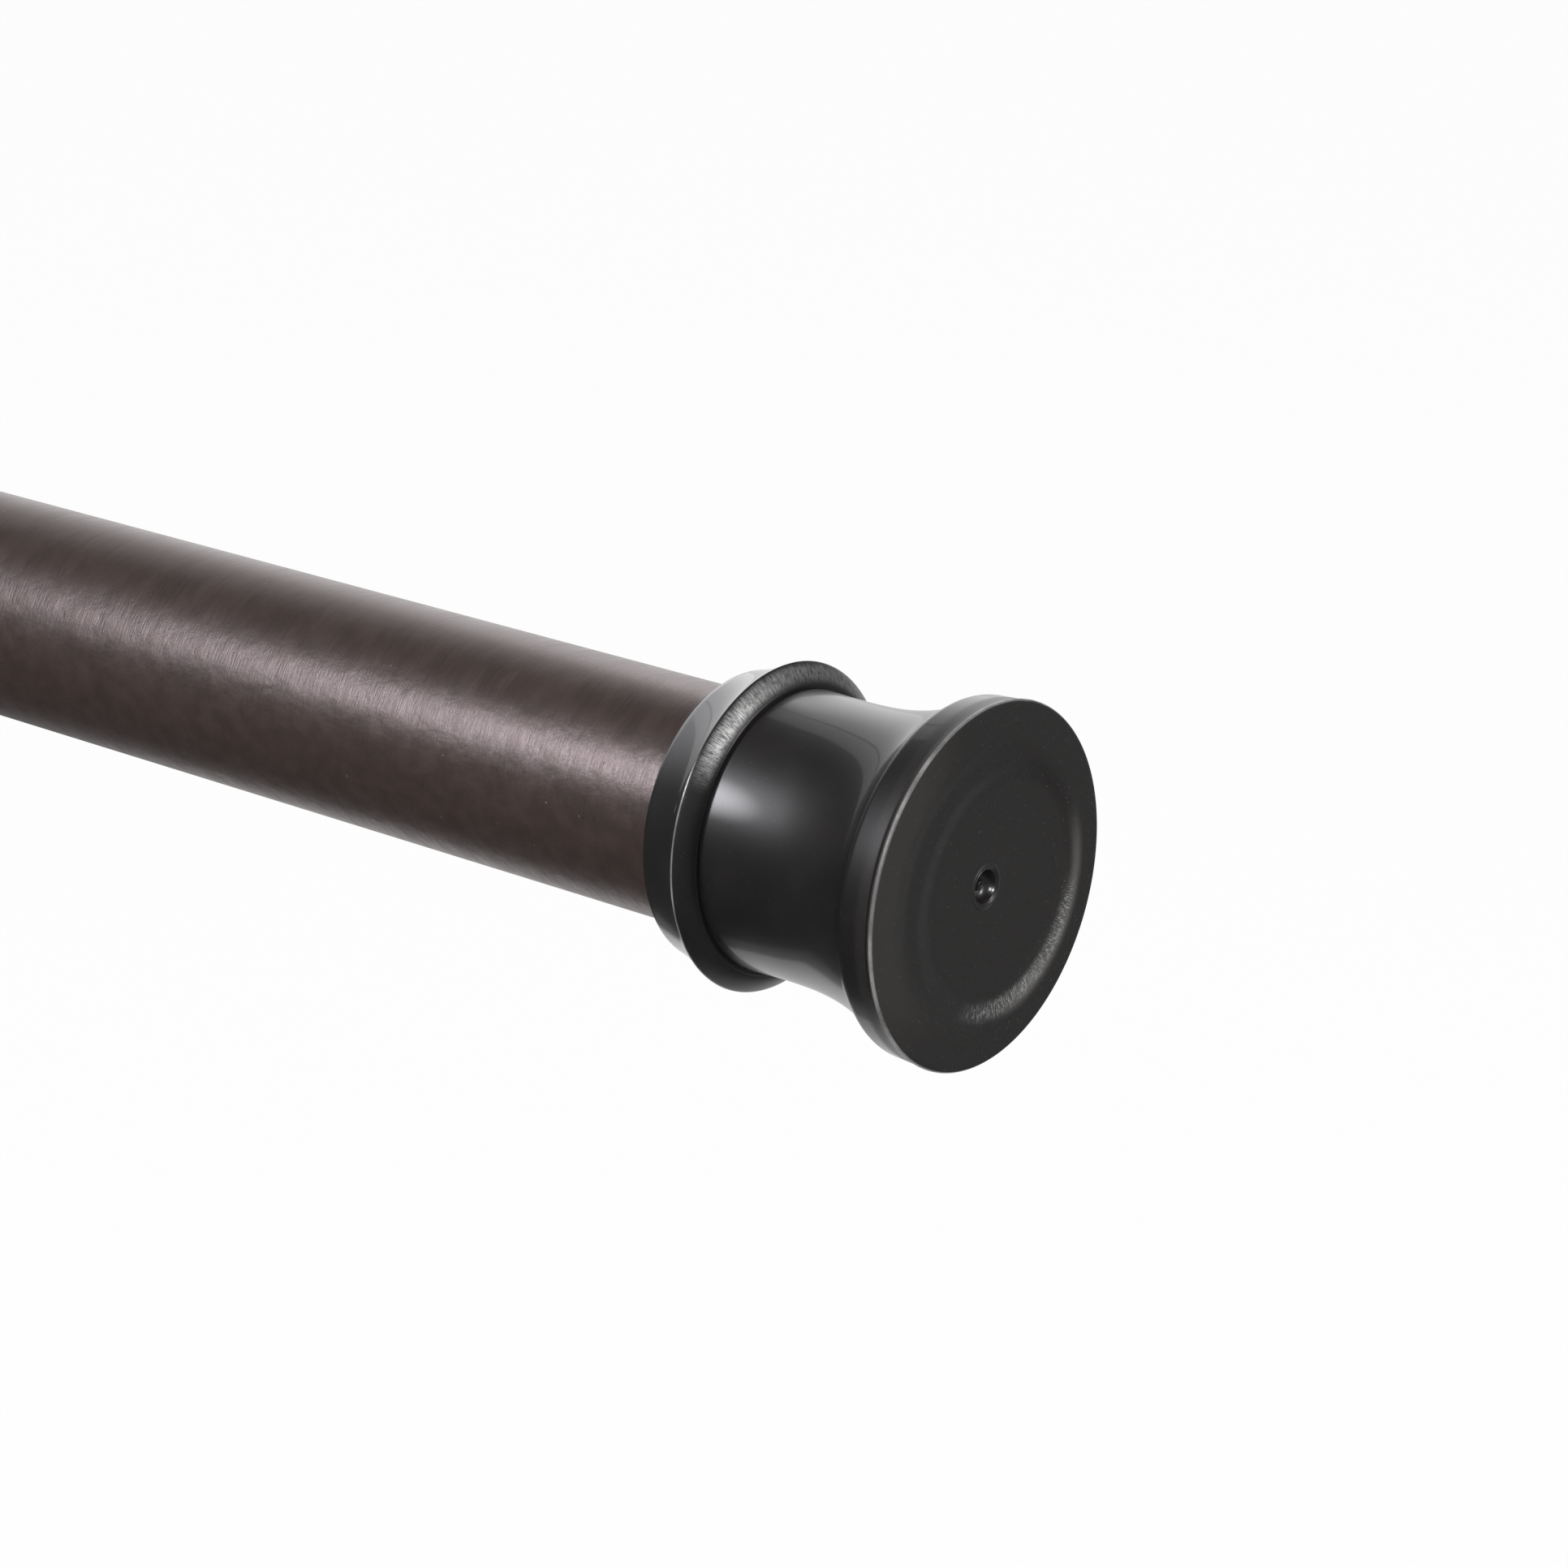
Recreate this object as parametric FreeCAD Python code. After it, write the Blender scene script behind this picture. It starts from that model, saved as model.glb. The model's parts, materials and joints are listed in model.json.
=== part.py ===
import FreeCAD, Part
import math
import os

from FreeCAD import Placement, Rotation, Vector

# Spring tension rod, in millimetres, at rest with its lock open and its spring at installed length.
# The origin is the centre of the wall face of the cap on the larger tube. The rod lies along X and
# runs towards -X, and +Z is up. "Depth" below is the distance from that wall face along the rod.

# Rod as a whole
closed_length = 608.0           # over both caps, pushed fully together
drawn_out = 50.0                # how far the inner tube is drawn out at rest
press_travel = 30.0             # travel of the inner tube against the spring

# Tubes
outer_tube_d = 25.4
inner_tube_d = 22.2
tube_wall = 0.6
tube_edge_break = 0.12
bead_depth = 0.3                # rolled bead that holds the guide collar
bead_width = 1.8
bead_from_mouth = 7.0

# End caps
cap_length = 32.0
cap_face_r = 19.1
cap_face_edge = 0.3
cap_floor = 5.0                 # depth of the bottom of the bore
recess_r = 15.8
recess_depth = 0.4
recess_wall_slope = 4.4         # how far the recess wall leans in, from face to floor
dimple_r = 1.8
dimple_depth = 1.0
dimple_lip = 0.15               # raised ring round the dimple
dimple_lip_r = 2.2
gate_nub_r = 0.4
gate_nub_foot_r = 0.55
gate_nub_height = 0.45
rim_front_depth = 1.0           # the rim narrows quickly to here, then slowly to its back edge
rim_front_r = 18.93
rim_back_depth = 4.6
rim_back_r = 18.4
rim_step = 0.35
flare_depth = 10.3              # a station of the flare's curve between the rim and the waist
flare_r = 15.58
waist_depth = 16.0
waist_r = 14.88
waist_back_depth = 24.3         # the waist ends here, at a narrow groove in front of the flange
waist_back_r = 14.88
flange_root_depth = 25.1
flange_root_r = 14.44
flange_edge_depth = 26.35
flange_r = 17.45
flange_edge_flat = 0.2
mouth_r = 15.4
mouth_curve_depth = 28.6
mouth_curve_r = 16.22
mouth_edge = 0.3
bore_chamfer = 0.5

# Tube end plugs and the reducer
plug_head = 1.6
plug_length = 12.0
plug_wall = 1.4
plug_ribs = 6
plug_rib_w = 1.6
plug_rib_h = 0.45
reducer_length = 22.0

# Guide collar in the mouth of the outer tube
collar_flange = 2.0
collar_flange_d = 26.8
collar_length = 15.0
collar_groove_side = 0.2        # room for the bead on each side

# Sleeve on the inner end of the inner tube
sleeve_length = 12.0
sleeve_lip = 1.0
sleeve_lip_r = 10.0

# Lock: core, eccentric journal and split ring
journal_d = 13.0
journal_offset = 1.0
lock_ring_length = 14.0
lock_ring_slit = 1.6
serrations = 30
serration_depth = 0.35
guide_disc_length = 8.0
guide_disc_grooves = 6
guide_disc_groove_r = 1.5
spring_boss_r = 6.5
spring_boss_length = 5.0

# Guide rod and its fasteners
rod_square = 6.0
rod_corner = 0.5
rod_thread_d = 5.0
rod_tail = 4.0                  # rod behind the centre of the stop pin
nut_flats = 8.0
nut_height = 4.0
thread_past_nut = 1.5
washer_thickness = 1.2
lock_washer_d = 19.0
spring_washer_d = 18.4
stop_washer_d = 16.0
stop_pin_d = 2.5
stop_pin_length = 14.0

# Coil spring
wire_d = 1.8
coil_mean_d = 16.0
spring_length = 118.0
open_turns = 14
closed_turns = 1                # turns at each end that lie together
chords_per_turn = 12            # the wire is drawn as short straight chords
wire_sides = 6

# Seat plug in the inner tube and the dimples that hold it
seat_length = 14.0
dimples = 3
dimple_ball_r = 2.5             # inside radius of the pressed-in steel
dimple_out = 1.1                # centre of that ball above the tube's surface

# Clearances
push_fit = 0.05                 # radial, pieces pushed together by hand or pressed
running_fit = 0.08              # radial, round pieces that turn or slide on each other
collar_slide_fit = 0.1          # radial, guide collar round the inner tube
sleeve_clear = 0.15             # radial, sleeve in the outer tube
disc_clear = 0.35               # radial, guide disc in the outer tube
ring_clear = 0.6                # radial, open lock ring in the outer tube
ring_end_play = 0.3
square_clear = 0.1              # on each flat of the guide rod
hole_clear = 0.1                # radial, screws and pins in their holes
pocket_clear = 0.15             # round the dimples, in the seat plug
seat_gap = 0.05                 # between the spring's wire and the washers
closed_gap = 2.0                # guide collar to far cap, rod pushed fully together
mouth_clear = 4.0               # inner tube to lock core, spring fully pressed
tip_clear = 5.0                 # guide rod to outer plug, rod fully together

# Radii that follow
outer_tube_r = outer_tube_d / 2
outer_bore_r = outer_tube_r - tube_wall
inner_tube_r = inner_tube_d / 2
inner_bore_r = inner_tube_r - tube_wall
cap_bore_r = outer_tube_r + push_fit
journal_r = journal_d / 2
rod_corner_r = rod_square / 2 * math.sqrt(2)
washer_hole_r = rod_corner_r + hole_clear
wire_r = wire_d / 2

# Depths that follow, at rest
overall_length = closed_length + press_travel + drawn_out
outer_tube_start = cap_floor + plug_head
outer_tube_mouth = closed_length - cap_length - closed_gap - collar_flange
outer_plug_end = outer_tube_start + plug_length
rod_front = outer_plug_end + tip_clear + drawn_out
nut_front = rod_front + thread_past_nut
lock_washer_front = nut_front + nut_height
journal_front = lock_washer_front + washer_thickness
disc_front = journal_front + lock_ring_length + ring_end_play
core_back = disc_front + guide_disc_length
spring_front = core_back + washer_thickness
spring_back = spring_front + spring_length
seat_front = spring_back + washer_thickness
seat_back = seat_front + seat_length
stop_pin_depth = seat_back + washer_thickness + stop_pin_d / 2 + hole_clear
rod_back = stop_pin_depth + rod_tail
inner_tube_start = core_back + press_travel + mouth_clear
inner_tube_end = overall_length - cap_floor - plug_head


def at(depth, radius):
    """A point of a half section, in the XZ plane."""
    return Vector(-depth, 0, radius)


class Outline:
    """A closed half section, drawn edge by edge from its first corner."""

    def __init__(self, depth, radius):
        self.first = at(depth, radius)
        self.last = self.first
        self.edges = []

    def line(self, depth, radius):
        end = at(depth, radius)
        self.edges.append(Part.makeLine(self.last, end))
        self.last = end
        return self

    def arc(self, mid_depth, mid_radius, depth, radius):
        end = at(depth, radius)
        self.edges.append(Part.Arc(self.last, at(mid_depth, mid_radius), end).toShape())
        self.last = end
        return self

    def curve(self, *stations):
        """A smooth curve through the stations, each a depth and a radius."""
        points = [self.last] + [at(depth, radius) for depth, radius in stations]
        smooth = Part.BSplineCurve()
        smooth.interpolate(points)
        self.edges.append(smooth.toShape())
        self.last = points[-1]
        return self

    def revolve(self):
        if (self.last - self.first).Length > 1e-6:
            self.edges.append(Part.makeLine(self.last, self.first))
        face = Part.Face(Part.Wire(self.edges))
        return face.revolve(Vector(0, 0, 0), Vector(1, 0, 0), 360)


def rod_between(front, back, radius):
    """A round bar along the rod's axis, between two depths."""
    return Part.makeCylinder(radius, back - front, Vector(-front, 0, 0), Vector(-1, 0, 0))


def ring_between(front, back, inner_r, outer_r):
    """A plain washer or sleeve between two depths."""
    return rod_between(front, back, outer_r).cut(rod_between(front, back, inner_r))


def square_between(front, back, side, corner):
    """A square bar with chamfered corners, flats up and down."""
    half = side / 2
    near = half - corner
    corners = [(half, near), (near, half), (-near, half), (-half, near),
               (-half, -near), (-near, -half), (near, -half), (half, -near)]
    points = [Vector(-front, y, z) for y, z in corners]
    section = Part.Face(Part.makePolygon(points + [points[0]]))
    return section.extrude(Vector(front - back, 0, 0))


def around(shape, count):
    """Copies of a shape, evenly turned about the rod's axis."""
    copies = []
    places = round(count)
    for i in range(places):
        copy = shape.copy()
        copy.rotate(Vector(0, 0, 0), Vector(1, 0, 0), 360 * i / places)
        copies.append(copy)
    return copies


def mirrored(shape):
    """The shape turned round, so that it starts at the far end of the rod."""
    copy = shape.copy()
    copy.Placement = Placement(Vector(-overall_length, 0, 0), Rotation(Vector(0, 0, 1), 180)).multiply(
        copy.Placement)
    return copy


def end_cap():
    """Moulded cap: recessed face with a gate dimple, rim, flared waist, flange, tapered mouth."""
    dimple_floor = recess_depth + dimple_depth
    nub_top = dimple_floor - gate_nub_height
    lip_top = recess_depth - dimple_lip
    recess_flat_r = recess_r - recess_wall_slope
    recess_middle_r = recess_r - recess_wall_slope / 2
    rim_shoulder_r = rim_back_r - rim_step
    cap = Outline(nub_top, 0)
    cap.line(nub_top, gate_nub_r)
    cap.line(dimple_floor, gate_nub_foot_r)
    cap.arc(recess_depth + dimple_depth * 0.7, (gate_nub_foot_r + dimple_r) * 0.6, lip_top, dimple_r)
    cap.line(lip_top, dimple_lip_r)
    cap.line(recess_depth, dimple_lip_r + dimple_lip)
    cap.line(recess_depth, recess_flat_r)
    cap.arc(recess_depth * 7 / 8, recess_r - recess_wall_slope * 3 / 4, recess_depth / 2, recess_middle_r)
    cap.arc(recess_depth / 8, recess_r - recess_wall_slope / 4, 0, recess_r)
    cap.line(0, cap_face_r - cap_face_edge)
    cap.line(cap_face_edge, cap_face_r)
    cap.line(rim_front_depth, rim_front_r)
    cap.line(rim_back_depth - rim_step, rim_back_r + rim_step)
    cap.line(rim_back_depth, rim_back_r)
    cap.line(rim_back_depth + rim_step, rim_shoulder_r)
    cap.curve((flare_depth, flare_r), (waist_depth, waist_r), (waist_back_depth, waist_back_r))
    cap.line(flange_root_depth, flange_root_r)
    cap.line(flange_edge_depth - flange_edge_flat, flange_r - flange_edge_flat)
    cap.line(flange_edge_depth, flange_r)
    cap.arc(mouth_curve_depth, mouth_curve_r, cap_length - mouth_edge, mouth_r)
    cap.line(cap_length, mouth_r - mouth_edge)
    cap.line(cap_length, cap_bore_r + bore_chamfer)
    cap.line(cap_length - bore_chamfer, cap_bore_r)
    cap.line(cap_floor, cap_bore_r)
    cap.line(cap_floor, 0)
    return cap.revolve()


def tube_plug(bore_r, head_r):
    """Cup-shaped plug: a head under the cap's floor, ribs that press in the tube's bore."""
    shank_r = bore_r - push_fit - plug_rib_h
    shank_end = outer_tube_start + plug_length
    plug = Outline(cap_floor, 0)
    plug.line(cap_floor, head_r)
    plug.line(outer_tube_start, head_r)
    plug.line(outer_tube_start, shank_r)
    plug.line(shank_end, shank_r)
    plug.line(shank_end, shank_r - plug_wall)
    plug.line(outer_tube_start, shank_r - plug_wall)
    plug.line(outer_tube_start, 0)
    rib = Part.makeBox(plug_length, plug_rib_w, plug_rib_h + plug_wall / 2,
                       Vector(-shank_end, -plug_rib_w / 2, shank_r - plug_wall / 2))
    ribs = Part.Compound(around(rib, plug_ribs)).common(rod_between(cap_floor, shank_end, bore_r - push_fit))
    return plug.revolve().fuse(ribs.Solids).removeSplitter()


def outer_tube():
    """Larger tube, its edges broken and a bead rolled in near its mouth."""
    bead_back = outer_tube_mouth - bead_from_mouth
    bead_front = bead_back - bead_width
    bead_middle = (bead_front + bead_back) / 2
    tube = Outline(outer_tube_start, outer_bore_r)
    tube.line(outer_tube_start, outer_tube_r - tube_edge_break)
    tube.line(outer_tube_start + tube_edge_break, outer_tube_r)
    tube.line(bead_front, outer_tube_r)
    tube.arc(bead_middle, outer_tube_r - bead_depth, bead_back, outer_tube_r)
    tube.line(outer_tube_mouth - tube_edge_break, outer_tube_r)
    tube.line(outer_tube_mouth, outer_tube_r - tube_edge_break)
    tube.line(outer_tube_mouth, outer_bore_r)
    tube.line(bead_back, outer_bore_r)
    tube.arc(bead_middle, outer_bore_r - bead_depth, bead_front, outer_bore_r)
    return tube.revolve()


def guide_collar():
    """Plastic bush in the mouth of the outer tube, with a groove that the bead snaps into."""
    flange_back = outer_tube_mouth + collar_flange
    flange_r = collar_flange_d / 2
    edge = collar_flange / 3
    shank_r = outer_bore_r - running_fit
    bore_r = inner_tube_r + collar_slide_fit
    bead_back = outer_tube_mouth - bead_from_mouth
    groove_back = bead_back + collar_groove_side
    groove_front = bead_back - bead_width - collar_groove_side
    groove_r = shank_r - bead_depth
    groove_side = bead_depth / 2
    collar = Outline(flange_back, bore_r + edge / 2)
    collar.line(flange_back, flange_r - edge)
    collar.line(flange_back - edge, flange_r)
    collar.line(outer_tube_mouth + running_fit, flange_r)
    collar.line(outer_tube_mouth + running_fit, shank_r)
    collar.line(groove_back, shank_r)
    collar.line(groove_back - groove_side, groove_r)
    collar.line(groove_front + groove_side, groove_r)
    collar.line(groove_front, shank_r)
    collar.line(outer_tube_mouth - collar_length, shank_r)
    collar.line(outer_tube_mouth - collar_length, bore_r)
    collar.line(flange_back - edge / 2, bore_r)
    return collar.revolve()


def inner_tube():
    """Smaller tube, with dimples pressed in to hold the seat plug."""
    tube = Outline(inner_tube_start, inner_bore_r)
    tube.line(inner_tube_start, inner_tube_r - tube_edge_break)
    tube.line(inner_tube_start + tube_edge_break, inner_tube_r)
    tube.line(inner_tube_end - tube_edge_break, inner_tube_r)
    tube.line(inner_tube_end, inner_tube_r - tube_edge_break)
    tube.line(inner_tube_end, inner_bore_r)
    pressed_in = dimple_balls(dimple_ball_r)
    filled = [ball.common(rod_between(seat_front, seat_back, inner_tube_r)) for ball in pressed_in]
    return tube.revolve().fuse(filled).cut(dimple_balls(dimple_ball_r - tube_wall))


def dimple_balls(radius):
    """Balls at the dimples, at the middle of the seat plug."""
    centre = at((seat_front + seat_back) / 2, inner_tube_r + dimple_out)
    return around(Part.makeSphere(radius, centre), dimples)


def inner_guide_sleeve():
    """Nylon sleeve round the inner end of the inner tube, with a lip over the tube's end."""
    sleeve = Outline(inner_tube_start - sleeve_lip, sleeve_lip_r)
    outer_r = outer_bore_r - sleeve_clear
    sleeve.line(inner_tube_start - sleeve_lip, outer_r - sleeve_lip)
    sleeve.line(inner_tube_start, outer_r)
    sleeve.line(inner_tube_start + sleeve_length, outer_r)
    sleeve.line(inner_tube_start + sleeve_length, inner_tube_r + push_fit)
    sleeve.line(inner_tube_start, inner_tube_r + push_fit)
    sleeve.line(inner_tube_start, sleeve_lip_r)
    return sleeve.revolve()


def spring_seat_plug():
    """Plug in the inner tube: square hole for the guide rod, pockets for the dimples."""
    plug = rod_between(seat_front, seat_back, inner_bore_r - push_fit)
    boss = rod_between(seat_front - spring_boss_length, seat_front, spring_boss_r)
    hole = square_between(seat_front - spring_boss_length, seat_back, rod_square + 2 * square_clear,
                          rod_corner)
    return plug.fuse(boss).cut([hole] + dimple_balls(dimple_ball_r + pocket_clear))


def cap_reducer():
    """Sleeve that fills the far cap's bore round the inner tube."""
    start = cap_floor + plug_head
    sleeve = Outline(start, inner_tube_r + push_fit)
    sleeve.line(start, outer_tube_r)
    sleeve.line(start + reducer_length - bore_chamfer, outer_tube_r)
    sleeve.line(start + reducer_length, outer_tube_r - bore_chamfer)
    sleeve.line(start + reducer_length, inner_tube_r + push_fit)
    return mirrored(sleeve.revolve())


def lock_core():
    """Guide disc, spring boss and eccentric journal in one moulding, with a square hole."""
    disc_r = outer_bore_r - disc_clear
    disc = rod_between(disc_front, core_back, disc_r)
    groove = Part.makeCylinder(guide_disc_groove_r, guide_disc_length, at(disc_front, disc_r),
                               Vector(-1, 0, 0))
    boss = rod_between(core_back, core_back + spring_boss_length, spring_boss_r)
    journal = rod_between(journal_front, disc_front, journal_r)
    journal.translate(Vector(0, 0, journal_offset))
    hole = square_between(journal_front, core_back + spring_boss_length, rod_square + 2 * square_clear,
                          rod_corner)
    return disc.cut(around(groove, guide_disc_grooves)).fuse([boss, journal]).cut(hole)


def lock_ring():
    """Split ring, round the tube's axis outside and round the journal inside, serrated outside."""
    front = journal_front + ring_end_play / 2
    back = front + lock_ring_length
    ring_r = outer_bore_r - ring_clear
    bore = rod_between(front, back, journal_r + running_fit)
    bore.translate(Vector(0, 0, journal_offset))
    slit = Part.makeBox(lock_ring_length, lock_ring_slit, ring_r, Vector(-back, -lock_ring_slit / 2, 0))
    groove_w = math.pi * ring_r / serrations
    corners = [Vector(-front, -groove_w / 2, ring_r + serration_depth / 2),
               Vector(-front, 0, ring_r - serration_depth),
               Vector(-front, groove_w / 2, ring_r + serration_depth / 2)]
    groove = Part.Face(Part.makePolygon(corners + [corners[0]])).extrude(Vector(-lock_ring_length, 0, 0))
    first_angle = 180 / serrations
    groove.rotate(Vector(0, 0, 0), Vector(1, 0, 0), first_angle)
    return rod_between(front, back, ring_r).cut([bore, slit] + around(groove, serrations))


def guide_rod():
    """Square rod, turned down and threaded in front, drilled for the stop pin behind."""
    bar = square_between(journal_front, rod_back, rod_square, rod_corner)
    thread = rod_between(rod_front, journal_front, rod_thread_d / 2)
    hole = Part.makeCylinder(stop_pin_d / 2 + hole_clear, 2 * rod_square,
                             at(stop_pin_depth, -rod_square), Vector(0, 0, 1))
    return bar.fuse(thread).cut(hole)


def lock_nut():
    """Hexagon nut with its corners chamfered on both faces."""
    across_corners_r = nut_flats / 2 / math.cos(math.radians(30))
    points = [Vector(-nut_front, across_corners_r * math.sin(math.radians(60 * i)),
                     across_corners_r * math.cos(math.radians(60 * i))) for i in range(6)]
    body = Part.Face(Part.makePolygon(points + [points[0]])).extrude(Vector(-nut_height, 0, 0))
    corner_fall = (across_corners_r - nut_flats / 2) / math.sqrt(3)
    turned = Outline(nut_front, 0)
    turned.line(nut_front, nut_flats / 2)
    turned.line(nut_front + corner_fall, across_corners_r)
    turned.line(nut_front + nut_height - corner_fall, across_corners_r)
    turned.line(nut_front + nut_height, nut_flats / 2)
    turned.line(nut_front + nut_height, 0)
    hole = rod_between(nut_front, nut_front + nut_height, rod_thread_d / 2 + push_fit)
    return body.common(turned.revolve()).cut(hole)


def stop_pin():
    """Round pin through the guide rod, behind the stop washer."""
    return Part.makeCylinder(stop_pin_d / 2, stop_pin_length, at(stop_pin_depth, -stop_pin_length / 2),
                             Vector(0, 0, 1))


def coil_spring():
    """Compression spring, its end turns closed, lofted through sections along the coil."""
    turns = open_turns + 2 * closed_turns
    wire_path = spring_length - wire_d - 2 * seat_gap
    open_path = wire_path - 2 * closed_turns * wire_d
    coil_r = coil_mean_d / 2

    def centre(turn):
        if turn < closed_turns:
            along = wire_d * turn
        elif turn > turns - closed_turns:
            along = wire_path - wire_d * (turns - turn)
        else:
            along = wire_d * closed_turns + open_path * (turn - closed_turns) / open_turns
        angle = 2 * math.pi * turn
        return Vector(-(spring_front + seat_gap + wire_r + along), coil_r * math.sin(angle),
                      coil_r * math.cos(angle))

    sections = []
    for i in range(round(turns * chords_per_turn) + 1):
        turn = i / chords_per_turn
        middle = centre(turn)
        outward = Vector(0, middle.y, middle.z).normalize()
        sideways = Vector(-1, 0, 0)
        ring = []
        for k in range(wire_sides):
            angle = 2 * math.pi * (k + 0.5) / wire_sides
            ring.append(middle + outward * (wire_r * math.sin(angle)) + sideways * (wire_r * math.cos(angle)))
        sections.append(Part.makePolygon(ring + [ring[0]]))
    return Part.makeLoft(sections, True, True)


def washer(front, outer_d, inner_r):
    return ring_between(front, front + washer_thickness, inner_r, outer_d / 2)


boss_hole_r = spring_boss_r + hole_clear
pieces = {
    "outer_end_cap": end_cap(),
    "outer_tube_plug": tube_plug(outer_bore_r, outer_tube_r),
    "outer_tube": outer_tube(),
    "guide_collar": guide_collar(),
    "lock_nut": lock_nut(),
    "lock_washer": washer(lock_washer_front, lock_washer_d, rod_thread_d / 2 + hole_clear),
    "lock_ring": lock_ring(),
    "lock_core": lock_core(),
    "front_spring_washer": washer(core_back, spring_washer_d, boss_hole_r),
    "coil_spring": coil_spring(),
    "back_spring_washer": washer(spring_back, spring_washer_d, boss_hole_r),
    "spring_seat_plug": spring_seat_plug(),
    "stop_washer": washer(seat_back, stop_washer_d, washer_hole_r),
    "stop_pin": stop_pin(),
    "guide_rod": guide_rod(),
    "inner_guide_sleeve": inner_guide_sleeve(),
    "inner_tube": inner_tube(),
    "cap_reducer": cap_reducer(),
    "inner_tube_plug": mirrored(tube_plug(inner_bore_r, outer_tube_r)),
    "inner_end_cap": mirrored(end_cap()),
}

os.makedirs("parts", exist_ok=True)
for name, shape in pieces.items():
    solids = shape.Solids
    whole = solids[0] if len(solids) == 1 else Part.Compound(solids)
    print(name, len(solids), "solid,", round(whole.Volume, 1), "mm3, valid", whole.isValid())
    whole.exportStep("parts/" + name + ".step")
print("overall", round(overall_length, 2), "inner tube", round(inner_tube_end - inner_tube_start, 1),
      "outer tube", round(outer_tube_mouth - outer_tube_start, 1), "mm")
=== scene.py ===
# %% [markdown]
# This lesson dresses a spring tension rod: two painted steel tubes, one sliding in the other, with a black
# moulded cap on each end and a twist lock and a coil spring hidden inside. The working model is loaded
# first as a fixed frame. It holds every piece at its real place, and nothing in it is moved here. Pieces
# that show get finer meshes of the same form, and every piece gets a finish of its own.

import json
import math

import bmesh
import bpy
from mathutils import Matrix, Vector
from mathutils.geometry import interpolate_bezier


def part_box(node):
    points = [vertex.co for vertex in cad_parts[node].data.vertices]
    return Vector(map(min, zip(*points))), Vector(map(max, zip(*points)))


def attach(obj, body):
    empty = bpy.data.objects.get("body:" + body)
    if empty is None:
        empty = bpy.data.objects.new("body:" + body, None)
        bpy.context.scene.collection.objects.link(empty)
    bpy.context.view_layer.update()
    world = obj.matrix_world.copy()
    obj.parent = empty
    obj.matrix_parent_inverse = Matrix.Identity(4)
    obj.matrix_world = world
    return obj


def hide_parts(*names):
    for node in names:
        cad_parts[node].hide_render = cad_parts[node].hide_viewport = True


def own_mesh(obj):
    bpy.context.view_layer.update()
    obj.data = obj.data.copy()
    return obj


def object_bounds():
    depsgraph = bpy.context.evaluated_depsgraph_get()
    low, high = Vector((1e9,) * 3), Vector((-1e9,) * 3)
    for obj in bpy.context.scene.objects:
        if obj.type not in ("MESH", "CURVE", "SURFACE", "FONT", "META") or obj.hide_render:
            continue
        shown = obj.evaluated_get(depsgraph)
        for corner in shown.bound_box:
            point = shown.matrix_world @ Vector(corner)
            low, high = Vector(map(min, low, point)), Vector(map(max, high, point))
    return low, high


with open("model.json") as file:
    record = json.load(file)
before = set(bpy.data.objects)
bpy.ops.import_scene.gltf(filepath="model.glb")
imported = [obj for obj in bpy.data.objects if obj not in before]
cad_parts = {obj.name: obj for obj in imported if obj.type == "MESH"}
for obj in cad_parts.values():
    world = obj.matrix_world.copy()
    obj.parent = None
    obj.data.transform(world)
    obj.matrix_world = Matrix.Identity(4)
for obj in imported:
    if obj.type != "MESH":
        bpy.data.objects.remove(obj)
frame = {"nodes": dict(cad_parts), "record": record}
cad_low, cad_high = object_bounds()
print("frame", [round(high - low, 4) for low, high in zip(cad_low, cad_high)], "m")

# %% [markdown]
# The rod lies along X. The wall face of the near cap is at X = 0, and the rod runs towards -X. A place on
# the rod is given below by its depth, in millimetres behind that wall face, and by its radius. The far cap
# is the same moulding turned round, so its depths count from the other end.

# %% Sizes read from the frame
MM = 0.001
rod_length = (cad_high[0] - cad_low[0]) / MM


def depth_span(node):
    low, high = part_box(node)
    return -high[0] / MM, -low[0] / MM


def radius_of(node):
    low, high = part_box(node)
    return (high[1] - low[1]) / 2 / MM


outer_tube_start, outer_tube_mouth = depth_span("outer_tube")
inner_tube_start, inner_tube_end = depth_span("inner_tube")
collar_start, collar_end = depth_span("guide_collar")
spring_front, spring_back = depth_span("coil_spring")
outer_tube_r = radius_of("outer_tube")
inner_tube_r = radius_of("inner_tube")
collar_r = radius_of("guide_collar")
tube_wall = 0.6
print("rod", round(rod_length, 1), "outer tube", round(2 * outer_tube_r, 2),
      "inner tube", round(2 * inner_tube_r, 2), "mm")

# %% [markdown]
# The camera comes first, because every finish is judged through it. The photographer stood in front of the
# cap and a little above, with a long lens that sees about 20 degrees and hardly shows perspective. The
# cap's circles and the straight sides of the tube give the place of the camera and its direction.

# %% Camera
camera_place = Vector((0.23814, -0.33270, 0.16576))
camera_turn = math.radians(38.43)
camera_tilt = math.radians(20.74)
lens_mm = 102.22

looking = Vector((-math.sin(camera_turn) * math.cos(camera_tilt),
                  math.cos(camera_turn) * math.cos(camera_tilt), -math.sin(camera_tilt)))
camera_data = bpy.data.cameras.new("camera")
camera_data.lens = lens_mm
camera_data.sensor_width = 36.0
camera_data.sensor_fit = "HORIZONTAL"
camera_data.clip_start = 0.01
camera_data.clip_end = 50.0
camera = bpy.data.objects.new("camera", camera_data)
camera.location = camera_place
camera.rotation_euler = looking.to_track_quat("-Z", "Y").to_euler()
bpy.context.collection.objects.link(camera)
bpy.context.scene.camera = camera
bpy.context.scene.view_settings.view_transform = "Standard"
print("camera", [round(c, 3) for c in camera_place])

# %% [markdown]
# Shader maths reads best as plain formulas. The class below wraps one socket of a node tree. Adding or
# multiplying two wrapped sockets makes the Math node that does it, so a mask can be written as 1 - mask.
# Every other kind of node comes from one function, which sets the node's options and then joins its inputs.

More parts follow.
